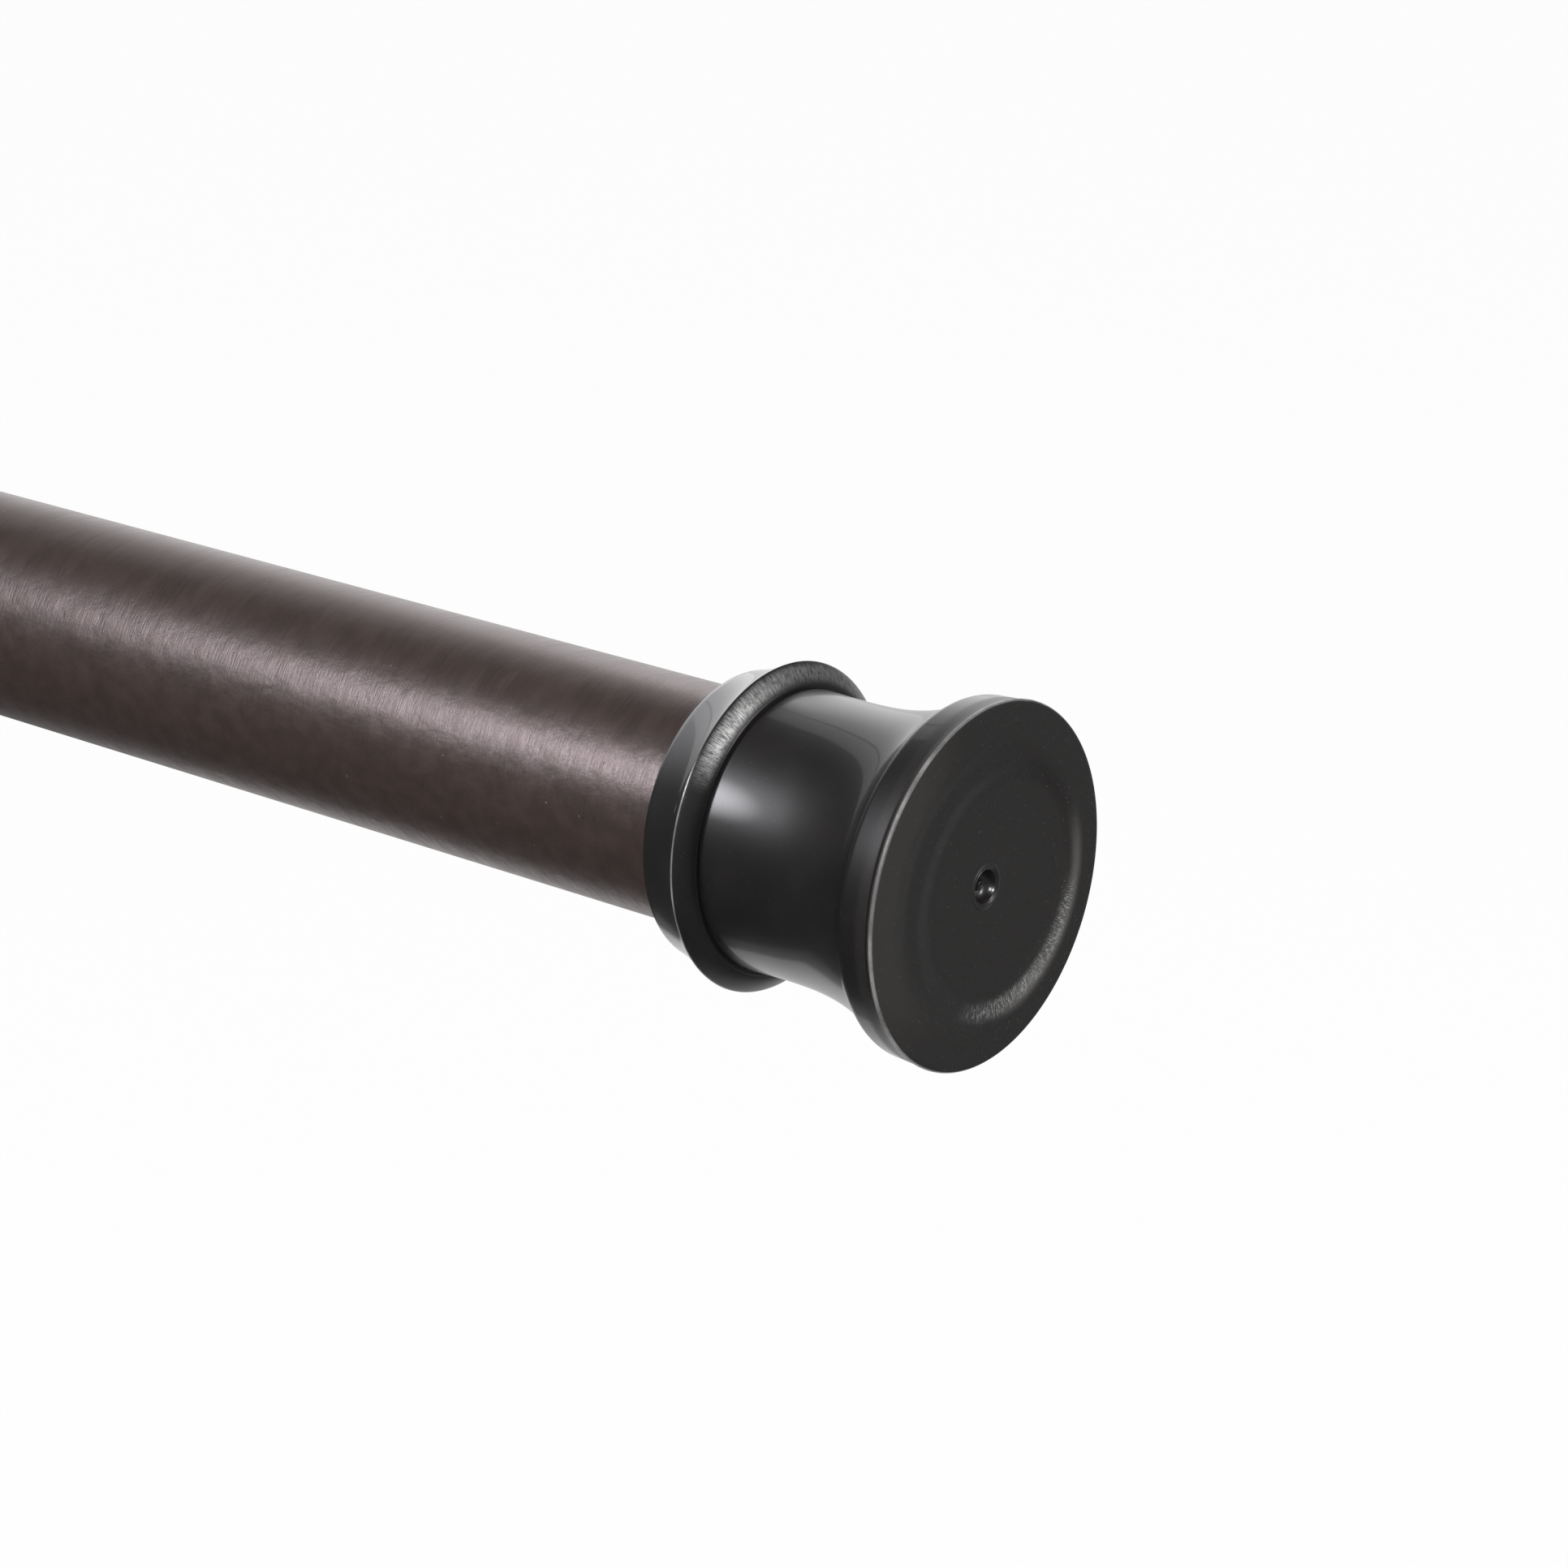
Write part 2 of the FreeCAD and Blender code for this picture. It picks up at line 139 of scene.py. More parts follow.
# %% Shader maths as formulas
class Term:
    """A value that flows through a material: one output socket and the tree it is in."""

    def __init__(self, tree, socket):
        self.tree = tree
        self.socket = socket

    def math(self, operation, *others, clamp=False):
        return make_node(self.tree, "ShaderNodeMath", {"operation": operation, "use_clamp": clamp},
                         {i: term for i, term in enumerate((self,) + others)})

    def __add__(self, other):
        return self.math("ADD", other)

    __radd__ = __add__

    def __mul__(self, other):
        return self.math("MULTIPLY", other)

    __rmul__ = __mul__

    def __sub__(self, other):
        return self.math("SUBTRACT", other)

    def __rsub__(self, other):
        return (self * -1.0) + other

    def __truediv__(self, other):
        return self.math("DIVIDE", other)

    def __pow__(self, other):
        return self.math("POWER", other)

    def clamped(self):
        return self.math("ADD", 0.0, clamp=True)

    def between(self, low, high):
        """0 below low, 1 above high, and a smooth step from one to the other."""
        return make_node(self.tree, "ShaderNodeMapRange", {"interpolation_type": "SMOOTHSTEP"},
                         {"Value": self, "From Min": low, "From Max": high})

    def band(self, start, full, fading, end):
        """1 from full to fading, and a smooth step down to 0 at start and at end."""
        return self.between(start, full) * (1 - self.between(fading, end))


def make_node(tree, kind, options=None, inputs=None, output=0):
    """A node of that kind. Options are set first, then each input gets a link or a plain value."""
    node = tree.nodes.new(kind)
    for key, value in (options or {}).items():
        setattr(node, key, value)
    for key, value in (inputs or {}).items():
        if isinstance(value, Term):
            tree.links.new(value.socket, node.inputs[key])
        else:
            node.inputs[key].default_value = value
    return Term(tree, node.outputs[output])


def colour_mix(tree, factor, first, second):
    """The first colour where factor is 0 and the second where it is 1."""
    input_a, input_b, colour_output = 6, 7, 2
    return make_node(tree, "ShaderNodeMix", {"data_type": "RGBA"},
                     {"Factor": factor, input_a: first, input_b: second}, output=colour_output)


def parts_of(vector):
    """The X, Y and Z of a wrapped vector, each wrapped too."""
    split = vector.tree.nodes.new("ShaderNodeSeparateXYZ")
    vector.tree.links.new(vector.socket, split.inputs[0])
    return [Term(vector.tree, part) for part in split.outputs]


def seen_by_camera(tree):
    """1 for what the camera sees, also through something clear, and 0 for what is mirrored."""
    straight = make_node(tree, "ShaderNodeLightPath", output="Is Camera Ray")
    through = make_node(tree, "ShaderNodeLightPath", output="Is Transmission Ray")
    return straight.math("MAXIMUM", through)


# %% [markdown]
# A finish is a Principled shader with a few fixed numbers, and with patterns that change its colour,
# roughness and relief. Patterns are placed by Object coordinates. Every object here stays at the origin, so
# these are simply places on the rod, in metres. Most of the rod's marks follow its round form, and so the
# coordinates are also given as an angle round the rod and a distance from its axis.

# %% A finish and its coordinates
class Finish:
    """A material with its tree, its Principled shader and coordinates that follow a round rod."""

    def __init__(self, name, fixed):
        self.material = bpy.data.materials.new(name)
        self.material.use_nodes = True
        self.tree = self.material.node_tree
        self.shader = self.tree.nodes["Principled BSDF"]
        for socket, value in fixed.items():
            self.shader.inputs[socket].default_value = value
        self.place = self.node("ShaderNodeTexCoord", output="Object")
        self.x, self.y, self.z = parts_of(self.place)
        self.radius = (self.y * self.y + self.z * self.z) ** 0.5
        self.angle = self.y.math("ARCTAN2", self.z)

    def node(self, kind, options=None, inputs=None, output=0):
        return make_node(self.tree, kind, options, inputs, output)

    def vector(self, x, y, z):
        return self.node("ShaderNodeCombineXYZ", inputs={0: x, 1: y, 2: z})

    def noise(self, scale, detail=2.0, roughness=0.5, at=None):
        """Noise between 0 and 1, about 0.5, at the object's own coordinates or the given ones."""
        return self.node("ShaderNodeTexNoise", inputs={"Vector": at or self.place, "Scale": scale,
                                                       "Detail": detail, "Roughness": roughness})

    def round_noise(self, along, across, outward=0.0, detail=2.0):
        """Noise stretched to follow the round: its scales along the rod, round it and away from it."""
        turn = self.angle / (2 * math.pi)
        ring = self.vector(self.x * along + self.radius * outward, turn.math("SINE") * across,
                           (self.z / self.radius) * across)
        return self.noise(1.0, detail, at=ring)

    def specks(self, scale, size):
        """Small round specks: 1 inside, 0 outside. Size is a share of the cell."""
        cells = self.node("ShaderNodeTexVoronoi", {"feature": "F1"}, {"Vector": self.place, "Scale": scale})
        return 1 - cells.between(size * 0.5, size)

    def relief(self, height, depth_m, under=None):
        inputs = {"Height": height, "Distance": depth_m, "Strength": 1.0}
        if under is not None:
            inputs["Normal"] = under
        return self.node("ShaderNodeBump", inputs=inputs)

    def finish(self, colour=None, roughness=None, normal=None):
        """Joins what varies to the shader and returns the material."""
        for socket, term in (("Base Color", colour), ("Roughness", roughness), ("Normal", normal)):
            if term is not None:
                self.feed(term, socket)
        return self.material

    def feed(self, term, socket):
        self.tree.links.new(term.socket, self.shader.inputs[socket])


# %% [markdown]
# The tube is sprayed with a dark bronze paint. Under the lamp it shows a soft pinkish band that breaks up
# into short blotches, because the steel below was brushed round and round before it was painted. There are
# also a few dust nibs under the paint. The brush lines are noise that is stretched round the tube and very
# short along it, and they tilt the surface only a little.

# %% Painted steel
def tube_paint():
    paint = Finish("tube_paint", {"Metallic": 0.2, "IOR": 1.6, "Coat Weight": 0.4, "Coat Roughness": 0.7,
                                  "Specular Tint": (1.0, 0.88, 0.90, 1.0)})
    brush = paint.round_noise(5200.0, 7.0, detail=3.0)
    blotch = paint.round_noise(420.0, 7.0, detail=2.0)
    grit = paint.noise(4500.0, 1.0)
    nib = paint.specks(330.0, 0.050)
    pale = (0.040, 0.026, 0.022, 1.0)
    deep = (0.031, 0.020, 0.017, 1.0)
    colour = colour_mix(paint.tree, blotch.between(0.3, 0.7), deep, pale)
    colour = colour_mix(paint.tree, nib * 0.5, colour, (0.16, 0.14, 0.135, 1.0))
    roughness = 0.35 + (blotch - 0.5) * 0.12 + (brush - 0.5) * 0.30
    lines = paint.relief(brush, 0.000026)
    waves = paint.relief(blotch, 0.00008, lines)
    skin = paint.relief(grit, 0.000010, waves)
    return paint.finish(colour, roughness, paint.relief(nib, 0.00003, skin))


# %% [markdown]
# The cap is moulded in black soft plastic. Its sides come from a polished mould and are glossy, while the
# wall face has a fine spark-eroded grain. Use and storage have left marks on it: pale scuffs that run
# outward over the flange and pale worn edges. Light is painted in too: a painted highlight along the
# flange's sharp edge and in the pale line round the face's rim, a painted sheen on top of the mouth and a
# painted warm reflection at the left of the face. The plastic also sank as it cooled, inside a ring that is
# a little off the middle of the face. A painted highlight lies along the ring's crest at its right, and
# there are short scuffs at its lower right. Each mark is a mask between 0 and 1, made from distances in
# metres and angles in radians. A picture wrapped round the cap could do the same, but masks stay sharp at
# any distance and need no unwrapping.

# %% Zones of the cap and the marks on them
sink_y, sink_z = 0.0022, -0.0012


class CapMasks:
    """Masks for one cap. Depth counts from its wall face into the rod."""

    def __init__(self, black, depth):
        radius, angle = black.radius, black.angle
        self.wall_face = (1 - depth.between(0.0018, 0.0026)) * radius.between(0.0024, 0.0028)
        self.face = self.wall_face * (1 - depth.between(0.0006, 0.0009))
        self.mouth = depth.between(0.02635, 0.02650)
        self.flange_wall = depth.band(0.0245, 0.0248, 0.02615, 0.02635)

        round_scale, outward_scale = 110.0, 1600.0
        self.lines = black.noise(1.0, 4.0, 0.75, at=black.vector((black.y / radius) * round_scale,
                                                                 (black.z / radius) * round_scale,
                                                                 radius * outward_scale))
        self.flange_front = self.flange_wall * radius.band(0.0153, 0.0163, 0.0168, 0.0175)
        self.top_side = angle.band(-1.06, -0.74, 1.3, 2.4) * (1 - angle.between(-0.70, 0.15) * 0.58)
        self.from_sink = ((black.y - sink_y) ** 2.0 + (black.z - sink_z) ** 2.0) ** 0.5
        self.ring = self.face * self.from_sink.band(0.0112, 0.0122, 0.0128, 0.0138)
        self.low_side = (black.y * 0.45 - black.z * 0.9).between(0.0084, 0.0124)
        self.scuffed = self.flange_front * self.top_side * self.lines.between(0.30, 0.68) + (
            self.ring * self.low_side * self.lines.between(0.44, 0.70) * 0.55)

        # The crest colour is a painted highlight: a lighter band along the sink ring at the face's right
        # side.
        right_side = (black.y * 0.82 - black.z * 0.57).between(0.0085, 0.0140)
        self.crest_highlight = self.face * self.from_sink.band(0.0119, 0.0130, 0.0132, 0.0144) * right_side
        # The smear colour is a painted warm reflection: a lighter warm patch on the left of the face's outer
        # ring.
        self.warm_reflection = self.face * radius.between(0.0136, 0.0160) * (
            (black.y * -1).between(0.004, 0.012) * black.z.between(-0.015, -0.005))
        # The dust colour is a painted sheen: pale grey on top of the mouth, lighter the more it faces up.
        self.mouth_top_sheen = self.mouth * (black.z / radius).between(0.45, 0.95)

        # The pale edges are part wear and part painted highlight: the line round the face's rim is worn
        # and also stands for a highlight, and the line on the flange's sharp edge, kept to its left side, is
        # a painted highlight.
        face_rim = radius.between(0.01885, 0.01900) * (1 - depth.between(0.0003, 0.0005))
        flange_rim_highlight = radius.between(0.01736, 0.01741) * depth.band(0.0262, 0.0263, 0.0265, 0.0266) * (
            1 - angle.between(-1.00, -0.80))
        broken_line = 0.45 + black.noise(300.0, 3.0).between(0.36, 0.66) * 0.55
        self.edges = (face_rim + flange_rim_highlight) * broken_line


# %% [markdown]
# The masks now mix one colour after another into the black, from the widest mark to the finest, and they
# also change the roughness and the gloss. The polished sides have a thin clear coat, which gives a sharp
# mirror image over a duller one. The sink ring is relief of almost half a millimetre, and the grain and the
# scuffs are about two hundredths deep. All masks count from the wall face, so the same finish is made once
# for each end of the rod.

# %% Moulded black caps
def cap_plastic(name, face_x, inward):
    """face_x is where the wall face is, in metres, and inward is -1 or 1, the way into the rod."""
    black = Finish(name, {"IOR": 1.44, "Coat Roughness": 0.06})
    on = CapMasks(black, (black.x - face_x) * inward)
    grain = black.noise(5200.0, 2.0)
    cloud = black.noise(95.0, 3.0)
    speck = black.specks(1300.0, 0.11)

    base = colour_mix(black.tree, cloud.between(0.35, 0.7), (0.0085, 0.0082, 0.0085, 1.0),
                      (0.0125, 0.0112, 0.0108, 1.0))
    for mask, colour in ((on.wall_face, (0.014, 0.0130, 0.0126, 1.0)),
                         # a painted warm reflection at the left of the face
                         (on.warm_reflection, (0.0270, 0.0243, 0.0226, 1.0)),
                         # a painted sheen on top of the mouth, in pale grey
                         (on.mouth_top_sheen, (0.13, 0.13, 0.135, 1.0)),
                         # a painted highlight along the sink ring's crest, lighter where the grain is
                         (on.crest_highlight * (0.6 + grain * 0.4), (0.080, 0.078, 0.076, 1.0)),
                         ((on.scuffed * 0.9).clamped(), (0.50, 0.50, 0.50, 1.0)),
                         # pale worn edges, with a painted highlight along the face's rim and the flange's
                         # edge
                         ((on.edges * 0.7).clamped(), (0.30, 0.30, 0.30, 1.0)),
                         (on.wall_face * grain.between(0.52, 0.72) * 0.4, (0.034, 0.032, 0.031, 1.0)),
                         (speck * (0.2 + on.face * 0.3), (0.16, 0.156, 0.15, 1.0))):
        base = colour_mix(black.tree, mask, base, colour)

    roughness = 0.36 + on.wall_face * 0.02 + on.mouth * 0.08 + on.scuffed * 0.05 + (cloud - 0.5) * 0.04
    black.feed((1 - on.wall_face) * (1 - on.flange_wall) * (0.38 + on.mouth * 0.3), "Coat Weight")
    black.feed(on.scuffed * on.flange_front * 0.38, "Metallic")
    sink = black.relief(on.from_sink.between(0.0112, 0.0138) * on.face, 0.00045)
    skin = black.relief(grain * (on.face + 0.25), 0.000020, sink)
    scratched = on.flange_front * on.top_side + on.ring * on.low_side
    return black.finish(base, roughness, black.relief(on.lines * scratched, 0.000016, skin))


# %% [markdown]
# The hidden pieces are plain parts: black and natural nylon mouldings, zinc-plated fasteners and a spring
# of oiled steel. Each still has the faint marks that its making leaves, so that it looks right when the rod
# is pulled apart: flow clouds in the plastic, turned lines on the washers and drawn lines on the wire.

# %% Finishes of the hidden pieces
def plain_moulding(name, dark, light, roughness):
    plastic = Finish(name, {"IOR": 1.5})
    cloud = plastic.noise(160.0, 3.0)
    grain = plastic.noise(4200.0, 2.0)
    colour = colour_mix(plastic.tree, cloud.between(0.3, 0.7), dark, light)
    return plastic.finish(colour, roughness + (cloud - 0.5) * 0.12, plastic.relief(grain, 0.000004))


def bare_steel(name, dark, light, roughness, line_scale):
    steel = Finish(name, {"Metallic": 1.0})
    lines = steel.round_noise(line_scale, 3.0, outward=line_scale, detail=3.0)
    tarnish = steel.noise(240.0, 3.0)
    colour = colour_mix(steel.tree, tarnish.between(0.3, 0.75), light, dark)
    return steel.finish(colour, roughness + (tarnish - 0.5) * 0.15 + (lines - 0.5) * 0.1,
                        steel.relief(lines, 0.000004))


finishes = {
    "tube_bronze": tube_paint(),
    "moulded_black": plain_moulding("black_nylon", (0.020, 0.019, 0.020, 1), (0.032, 0.030, 0.031, 1), 0.42),
    "moulded_natural": plain_moulding("natural_nylon", (0.66, 0.64, 0.57, 1), (0.78, 0.77, 0.72, 1), 0.38),
    "zinc_steel": bare_steel("zinc_plate", (0.42, 0.42, 0.40, 1), (0.66, 0.66, 0.64, 1), 0.3, 3000.0),
    "spring_steel": bare_steel("oiled_spring_steel", (0.20, 0.19, 0.18, 1), (0.42, 0.41, 0.40, 1), 0.32,
                               4200.0),
}
near_cap_plastic = cap_plastic("near_cap_black", 0.0, -1.0)
far_cap_plastic = cap_plastic("far_cap_black", -rod_length * MM, 1.0)
print("finishes", sorted(finishes))

# %% Give the frame's pieces their finish
slot_of = {piece["node"]: piece["material_slot"] for piece in frame["record"]["subparts"]}
for node, piece in frame["nodes"].items():
    finish = finishes.get(slot_of[node], near_cap_plastic)
    piece.data.materials.clear()
    piece.data.materials.append(finish)
print("finished", len(frame["nodes"]), "pieces of the frame")

# %% [markdown]
# Caps, tubes and collars are all turned forms. A turned form could come from a curve that is revolved, but
# a mesh gives control over each corner: the half section is drawn as a chain of edges, its corners are
# rounded with a vertex bevel, as a fillet on a drawing, and then the chain is spun once round the axis.

# %% Half sections and turning
SAME_PLACE = 1e-7
SHARP_ANGLE = math.radians(50)


class HalfSection:
    """A chain of edges in millimetres: depth behind the wall face, and radius."""

    def __init__(self):
        self.mesh = bmesh.new()
        self.chain = []
        self.corners = []

    def to(self, depth, radius, corner=0.0):
        """A straight stretch to the next corner, which may be rounded."""
        point = self.mesh.verts.new((-depth * MM, 0.0, radius * MM))
        if self.chain:
            self.mesh.edges.new((self.chain[-1], point))
        self.chain.append(point)
        if corner:
            self.corners.append((point, corner * MM))
        return self

    def sweep(self, handle_a, handle_b, depth, radius, points):
        """A smooth stretch, shaped by two handles, each a depth and a radius."""
        start = self.chain[-1].co.copy()
        handles = [Vector((-d * MM, 0.0, r * MM)) for d, r in (handle_a, handle_b)]
        end = Vector((-depth * MM, 0.0, radius * MM))
        for place in interpolate_bezier(start, handles[0], handles[1], end, points)[1:]:
            self.to(-place.x / MM, place.z / MM)
        return self

    def turn(self, name, steps, closed=True, from_far_end=False):
        """Rounds the corners, spins the chain round the rod's axis and returns the finished object."""
        if closed:
            self.mesh.edges.new((self.chain[-1], self.chain[0]))
        for point, size in self.corners:
            bmesh.ops.bevel(self.mesh, geom=[point], offset=size, offset_type="OFFSET", affect="VERTICES",
                            segments=4, profile=0.5, material=-1)
        bmesh.ops.spin(self.mesh, geom=self.mesh.verts[:] + self.mesh.edges[:], cent=(0, 0, 0),
                       axis=(1, 0, 0), dvec=(0, 0, 0), angle=2 * math.pi, steps=steps, use_merge=True,
                       use_duplicate=False)
        bmesh.ops.remove_doubles(self.mesh, verts=self.mesh.verts[:], dist=SAME_PLACE)
        if from_far_end:
            bmesh.ops.scale(self.mesh, vec=(-1, 1, 1), verts=self.mesh.verts[:])
            bmesh.ops.translate(self.mesh, vec=(-rod_length * MM, 0, 0), verts=self.mesh.verts[:])
        bmesh.ops.recalc_face_normals(self.mesh, faces=self.mesh.faces[:])
        return finish_mesh(name, self.mesh)


def finish_mesh(name, mesh):
    """Turns a bmesh into a smooth-shaded object at the origin."""
    data = bpy.data.meshes.new(name)
    mesh.to_mesh(data)
    mesh.free()
    data.shade_smooth()
    data.set_sharp_from_angle(angle=SHARP_ANGLE)
    piece = bpy.data.objects.new(name, data)
    bpy.context.collection.objects.link(piece)
    print(name, len(data.polygons), "faces")
    return piece


def stands_for(piece, node, body, finish):
    """The piece takes the place, the body and the slot of a node of the frame."""
    piece.data.materials.append(finish)
    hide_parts(node)
    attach(piece, body)


# %% [markdown]
# The cap was moulded in one shot through a gate in the middle of its wall face. That left a small dimple
# with a stub in it, and the plastic sank a little round it as it cooled, so the middle of the face is a
# shallow dish. Behind the rim the cap draws in to a waist, like a trumpet, and it ends in a sharp flange
# and a tapered mouth round the tube. All of it is one chain of edges, spun once. The chain goes from the
# dimple's stub over the dish, the rim, the waist, the flange and the mouth, and back through the bore.

# %% End caps
cap_steps = 224


def end_cap(name, from_far_end):
    cap = HalfSection()
    cap.to(1.24, 0.0).to(1.22, 0.12, 0.04).to(0.97, 0.22, 0.05).to(0.96, 0.38, 0.07).to(1.32, 0.55, 0.08)
    cap.sweep((1.62, 0.80), (1.30, 1.50), 0.62, 1.66, 12)
    cap.to(0.34, 1.76, 0.08).to(0.32, 1.88, 0.04).to(0.37, 1.93, 0.03).to(0.25, 2.05, 0.05)
    cap.to(0.24, 2.24, 0.08).to(0.34, 2.46, 0.12)
    cap.to(0.37, 5.0, 1.0).to(0.40, 9.0, 1.0).to(0.40, 11.8)
    cap.sweep((0.40, 13.9), (0.0, 14.0), 0.0, 15.8, 24)
    cap.to(0.0, 18.55, 0.1).to(0.03, 18.92, 0.08).to(0.26, 19.1, 0.10).to(0.62, 19.02, 0.1)
    cap.to(1.0, 18.93, 0.1).to(4.2, 18.72, 0.35).to(4.62, 18.38, 0.12).to(4.95, 18.06, 0.12)
    cap.sweep((6.0, 17.0), (10.4, 15.18), 16.0, 14.86, 26)
    cap.sweep((18.75, 14.70), (21.5, 14.74), 24.60, 14.88, 14)
    cap.to(24.62, 14.78).to(24.93, 14.78).to(24.90, 15.28, 0.02).to(24.94, 15.34, 0.02)
    cap.sweep((25.05, 15.90), (25.55, 16.75), 26.30, 17.38, 10)
    cap.to(26.42, 17.45, 0.04)
    cap.sweep((27.3, 16.85), (29.2, 15.98), 31.7, 15.42, 14)
    cap.to(32.0, 15.12, 0.2).to(32.0, 13.2, 0.1).to(31.5, 12.75, 0.1).to(5.0, 12.75).to(5.0, 0.0)
    return cap.turn(name, cap_steps, closed=False, from_far_end=from_far_end)


near_cap = end_cap("near_cap", from_far_end=False)
stands_for(near_cap, "outer_end_cap", "outer_assembly", near_cap_plastic)
far_cap = end_cap("far_cap", from_far_end=True)
stands_for(far_cap, "inner_end_cap", "inner_assembly", far_cap_plastic)

# %% [markdown]
# The tubes are rolled and welded steel strip, 0.6 mm thick, cut square and deburred. They are modelled as
# closed half sections, so that each has its real wall and bore. The larger one has a bead rolled in near
# its mouth, which holds the guide collar by a groove.

# %% Tubes
tube_steps = 192
deburred = 0.12
mouth_to_bead = 7.0
bead_width = 1.8
bead_depth = 0.5
bead_round = 0.25


def larger_tube():
    bore_r = outer_tube_r - tube_wall
    bead_back = outer_tube_mouth - mouth_to_bead
    bead_front = bead_back - bead_width
    bead_middle = (bead_back + bead_front) / 2
    tube = HalfSection()
    tube.to(outer_tube_start, bore_r).to(outer_tube_start, outer_tube_r, deburred)
    tube.to(bead_front, outer_tube_r, bead_round).to(bead_middle, outer_tube_r - bead_depth, 2 * bead_round)
    tube.to(bead_back, outer_tube_r, bead_round)
    tube.to(outer_tube_mouth, outer_tube_r, deburred).to(outer_tube_mouth, bore_r)
    tube.to(bead_back, bore_r, bead_round).to(bead_middle, bore_r - bead_depth, 2 * bead_round)
    tube.to(bead_front, bore_r, bead_round)
    return tube.turn("larger_tube", tube_steps)


def smaller_tube():
    bore_r = inner_tube_r - tube_wall
    tube = HalfSection()
    tube.to(inner_tube_start, bore_r).to(inner_tube_start, inner_tube_r, deburred)
    tube.to(inner_tube_end, inner_tube_r, deburred).to(inner_tube_end, bore_r)
    return tube.turn("smaller_tube", tube_steps)


# %% Guide collar
tube_fit = 0.08
bore_fit = 0.1
groove_front, groove_back = 8.9, 6.8
groove_depth = 0.3
groove_slope = 0.1


def mouth_collar():
    bore_r = inner_tube_r + bore_fit
    shank_r = outer_tube_r - tube_wall - tube_fit
    groove_r = shank_r - groove_depth
    flange_front = outer_tube_mouth + tube_fit
    collar = HalfSection()
    collar.to(collar_start, bore_r).to(collar_start, shank_r, 0.1)
    collar.to(outer_tube_mouth - groove_front, shank_r)
    collar.to(outer_tube_mouth - groove_front + groove_slope, groove_r)
    collar.to(outer_tube_mouth - groove_back - groove_slope, groove_r)
    collar.to(outer_tube_mouth - groove_back, shank_r).to(flange_front, shank_r)
    collar.to(flange_front, collar_r, 0.15).to(collar_end, collar_r, 0.7).to(collar_end, bore_r, 0.3)
    return collar.turn("mouth_collar", tube_steps)


stands_for(larger_tube(), "outer_tube", "outer_assembly", finishes["tube_bronze"])
stands_for(smaller_tube(), "inner_tube", "inner_assembly", finishes["tube_bronze"])
stands_for(mouth_collar(), "guide_collar", "collar", finishes["moulded_black"])

# %% [markdown]
# The coil spring is a real helix of round wire whose end turns lie together. A wire along a helix could be
# spun step by step, but a curve with a round bevel is simpler and stays even. It is made a mesh at once, so
# that it can be squashed along the rod when the two tubes are pushed together.

# %% Coil spring
wire_r = 0.9
coil_r = 8.0
open_turns = 14
closed_turns = 1
points_per_turn = 16


def spring_wire():
    turns = open_turns + 2 * closed_turns
    wire_path = spring_back - spring_front - 2 * wire_r
    open_path = wire_path - 4 * closed_turns * wire_r
    curve = bpy.data.curves.new("spring_wire", "CURVE")
    curve.dimensions = "3D"
    curve.bevel_depth = wire_r * MM
    curve.bevel_resolution = 4
    curve.use_fill_caps = True
    line = curve.splines.new("NURBS")
    line.points.add(turns * points_per_turn)
    for i, point in enumerate(line.points):
        turn = i / points_per_turn
        opened = min(max(turn - closed_turns, 0), open_turns)
        closed = turn - opened
        along = spring_front + wire_r + closed * 2 * wire_r + opened * open_path / open_turns
        angle = 2 * math.pi * turn
        point.co = (-along * MM, coil_r * MM * math.sin(angle), coil_r * MM * math.cos(angle), 1.0)
    line.order_u = 4
    line.use_endpoint_u = True
    wound = bpy.data.objects.new("wound", curve)
    data = bpy.data.meshes.new_from_object(wound)
    mesh = bmesh.new()
    mesh.from_mesh(data)
    bmesh.ops.remove_doubles(mesh, verts=mesh.verts[:], dist=SAME_PLACE)
    bmesh.ops.recalc_face_normals(mesh, faces=mesh.faces[:])
    bpy.data.objects.remove(wound)
    return finish_mesh("spring_coil", mesh)


spring = spring_wire()
stands_for(spring, "coil_spring", "lock_carriage", finishes["spring_steel"])
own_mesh(spring)

# %% [markdown]
# The rod is photographed against white, with a dark studio in front of it. A painted or glossy round form
# shows exactly that: pale bands along its top and bottom edges, where it mirrors the white, and a dark
# middle. So the world is white behind and to the left of the rod, in two sheets with a narrow dark gap
# between them, which draws the thin line on the cap's waist. It is dim in front of the rod and on the side
# that its wall face looks at. The camera itself always sees white.

# %% World
world = bpy.data.worlds.new("studio")
bpy.context.scene.world = world
world.use_nodes = True
sky = world.node_tree
background = sky.nodes["Background"]
background.inputs["Color"].default_value = (1.0, 1.0, 1.0, 1.0)
seen = seen_by_camera(sky)
along, back, up = parts_of(make_node(sky, "ShaderNodeTexCoord", output="Generated"))
behind = back * 0.92 - up * 0.39
front_sheet = behind.band(0.00, 0.02, 0.200, 0.206) * 0.8
back_sheet = behind.between(0.222, 0.228) * (0.95 + behind.between(0.3, 0.6) * 0.6)
left = (along * -1.0).between(0.10, 0.35)
dim_level = 0.05
side_level = 0.22
side = along.between(0.28, 0.45) * (side_level - dim_level) + along.between(0.55, 0.80) * 0.2
room = (front_sheet + back_sheet) * left + side + dim_level
level = seen + (1 - seen) * room
sky.links.new(level.socket, background.inputs["Strength"])

# %% [markdown]
# The floor is a plain pale sheet well below the rod, and the camera sees it almost white. In the studio the
# white paper starts right under the rod and runs back, with a grey board along its front edge, and both
# end to the left in a slanting edge that the flare of the cap mirrors. The table in front of them is dark.
# The floor's emission does both, for seen and for mirrored rays.

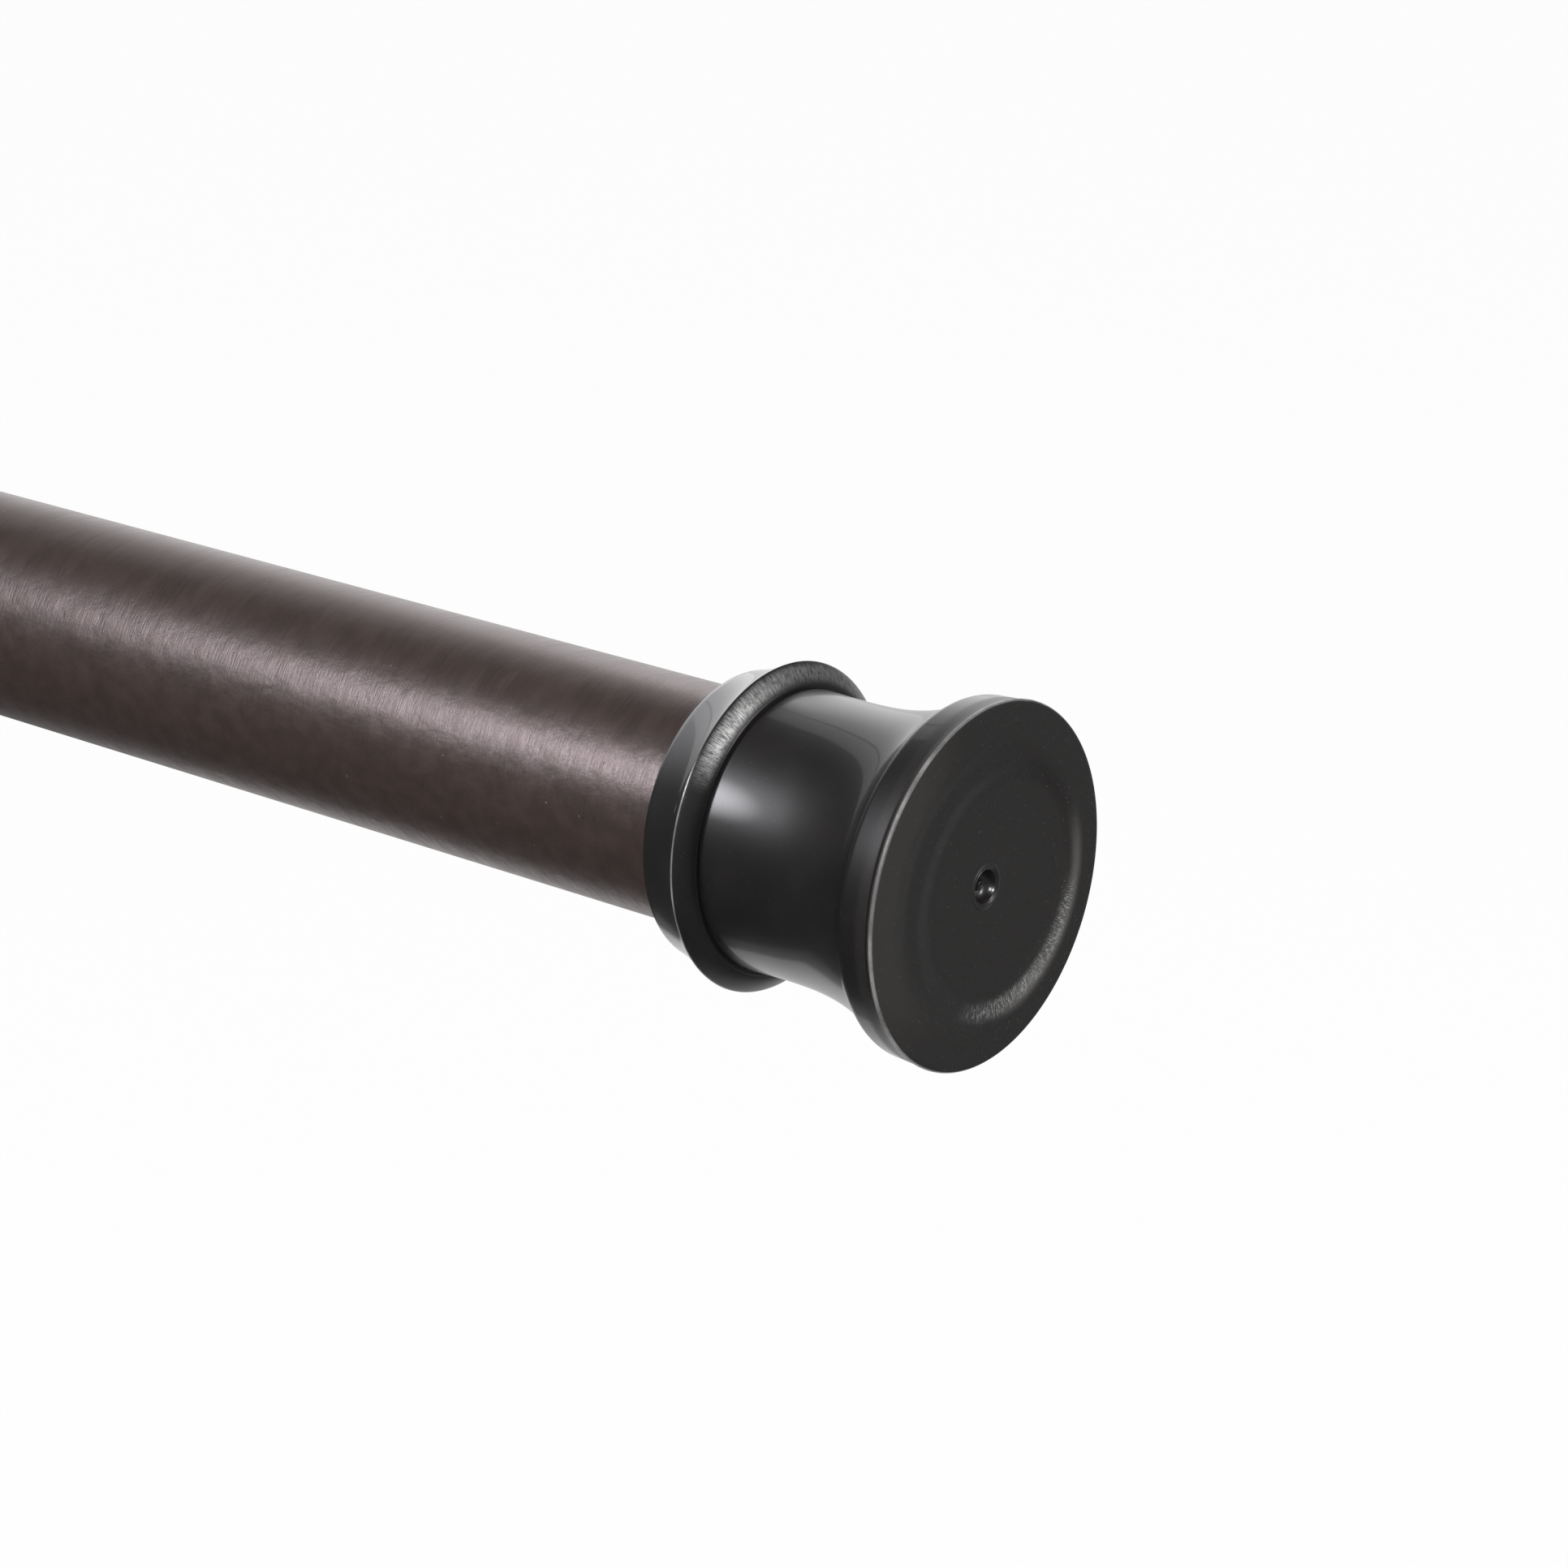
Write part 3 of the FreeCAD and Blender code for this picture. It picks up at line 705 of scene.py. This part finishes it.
# %% Floor
floor_drop = 0.45
floor_half_width = 6.0
floor_mesh = bmesh.new()
bmesh.ops.create_grid(floor_mesh, x_segments=1, y_segments=1, size=floor_half_width)
bmesh.ops.translate(floor_mesh, vec=(0, 0, -floor_drop), verts=floor_mesh.verts[:])
floor = finish_mesh("floor", floor_mesh)
paper = Finish("pale_floor", {"Roughness": 0.9})
floor_colour = colour_mix(paper.tree, paper.noise(6.0), (0.90, 0.90, 0.90, 1), (0.93, 0.93, 0.93, 1))
floor_material = paper.finish(floor_colour)
floor_material.cycles.emission_sampling = "NONE"
floor_seen = seen_by_camera(paper.tree)
floor_mirrored = paper.node("ShaderNodeLightPath", output="Is Glossy Ray") * (1 - floor_seen)
under_rod = 1 - paper.x.between(-0.1, 0.25)
far_back = paper.y.between(0.6, 0.9)
slanting_edge = (paper.x + paper.y * 0.53).between(-0.46, -0.40).math("MAXIMUM", far_back)
white_paper = paper.y.between(0.01, 0.05) * slanting_edge * under_rod
board = paper.y.between(-0.10, -0.04) * (paper.x + paper.y * 0.30).between(-0.60, -0.52) * under_rod * 0.20
table_level = 0.03
side_table = paper.x.between(0.25, 0.55) * (side_level - table_level)
mirrored_level = white_paper * (1.0 - board) + board + side_table + table_level
shown_level = floor_seen + floor_mirrored * mirrored_level
shown = paper.node("ShaderNodeEmission", inputs={"Color": (1, 1, 1, 1), "Strength": shown_level})
painted = Term(paper.tree, paper.shader.outputs[0])
shown_share = floor_seen * 0.97 + floor_mirrored
surface = paper.node("ShaderNodeMixShader", inputs={0: shown_share, 1: painted, 2: shown})
paper.tree.links.new(surface.socket, paper.tree.nodes["Material Output"].inputs["Surface"])
floor.data.materials.append(floor_material)

# %% [markdown]
# The key lamp stands close by, to the left of the camera and above it. It draws the bright band along the
# tube and the glow on the cap's waist. A real softbox is brightest in its middle, and a glossy surface
# shows that, so each lamp's strength falls off towards its edges. The side lamp stands off the end of the
# rod and glances over the wall face, the fill lamp stands between the camera and the key lamp, and a weak
# one behind lights the rod for the other views.

# %% Lamps
def soft_lamp(name, place, aim, width, height, watts, colour):
    light = bpy.data.lights.new(name, "AREA")
    light.shape = "ELLIPSE"
    light.size = width
    light.size_y = height
    light.energy = watts
    light.color = colour
    light.use_nodes = True
    tree = light.node_tree
    column, row, _ = parts_of(make_node(tree, "ShaderNodeNewGeometry", output="Parametric"))
    across, upward = column - 0.5, row - 0.5
    inside = (1 - (across * across + upward * upward) * 4.0).clamped()
    tree.links.new((inside * inside).socket, tree.nodes["Emission"].inputs["Strength"])
    lamp = bpy.data.objects.new(name, light)
    lamp.location = place
    lamp.rotation_euler = (Vector(aim) - Vector(place)).to_track_quat("-Z", "Y").to_euler()
    lamp.visible_camera = False
    bpy.context.collection.objects.link(lamp)


soft_lamp("key_softbox", (-0.55, -0.83, 0.69), (-0.03, 0.0, 0.0), 0.46, 0.90, 30.0, (0.96, 0.95, 1.0))
soft_lamp("side_softbox", (0.97, 0.31, 0.39), (0.0, 0.0, 0.0), 0.55, 0.7, 19.0, (1.0, 1.0, 1.0))
soft_lamp("fill_softbox", (0.24, -0.88, 0.58), (-0.02, 0.0, 0.0), 0.5, 0.5, 26.0, (1.0, 0.98, 0.95))
soft_lamp("back_softbox", (-0.50, 0.98, 0.80), (-0.2, 0.0, 0.0), 0.8, 0.8, 10.0, (1.0, 1.0, 1.0))
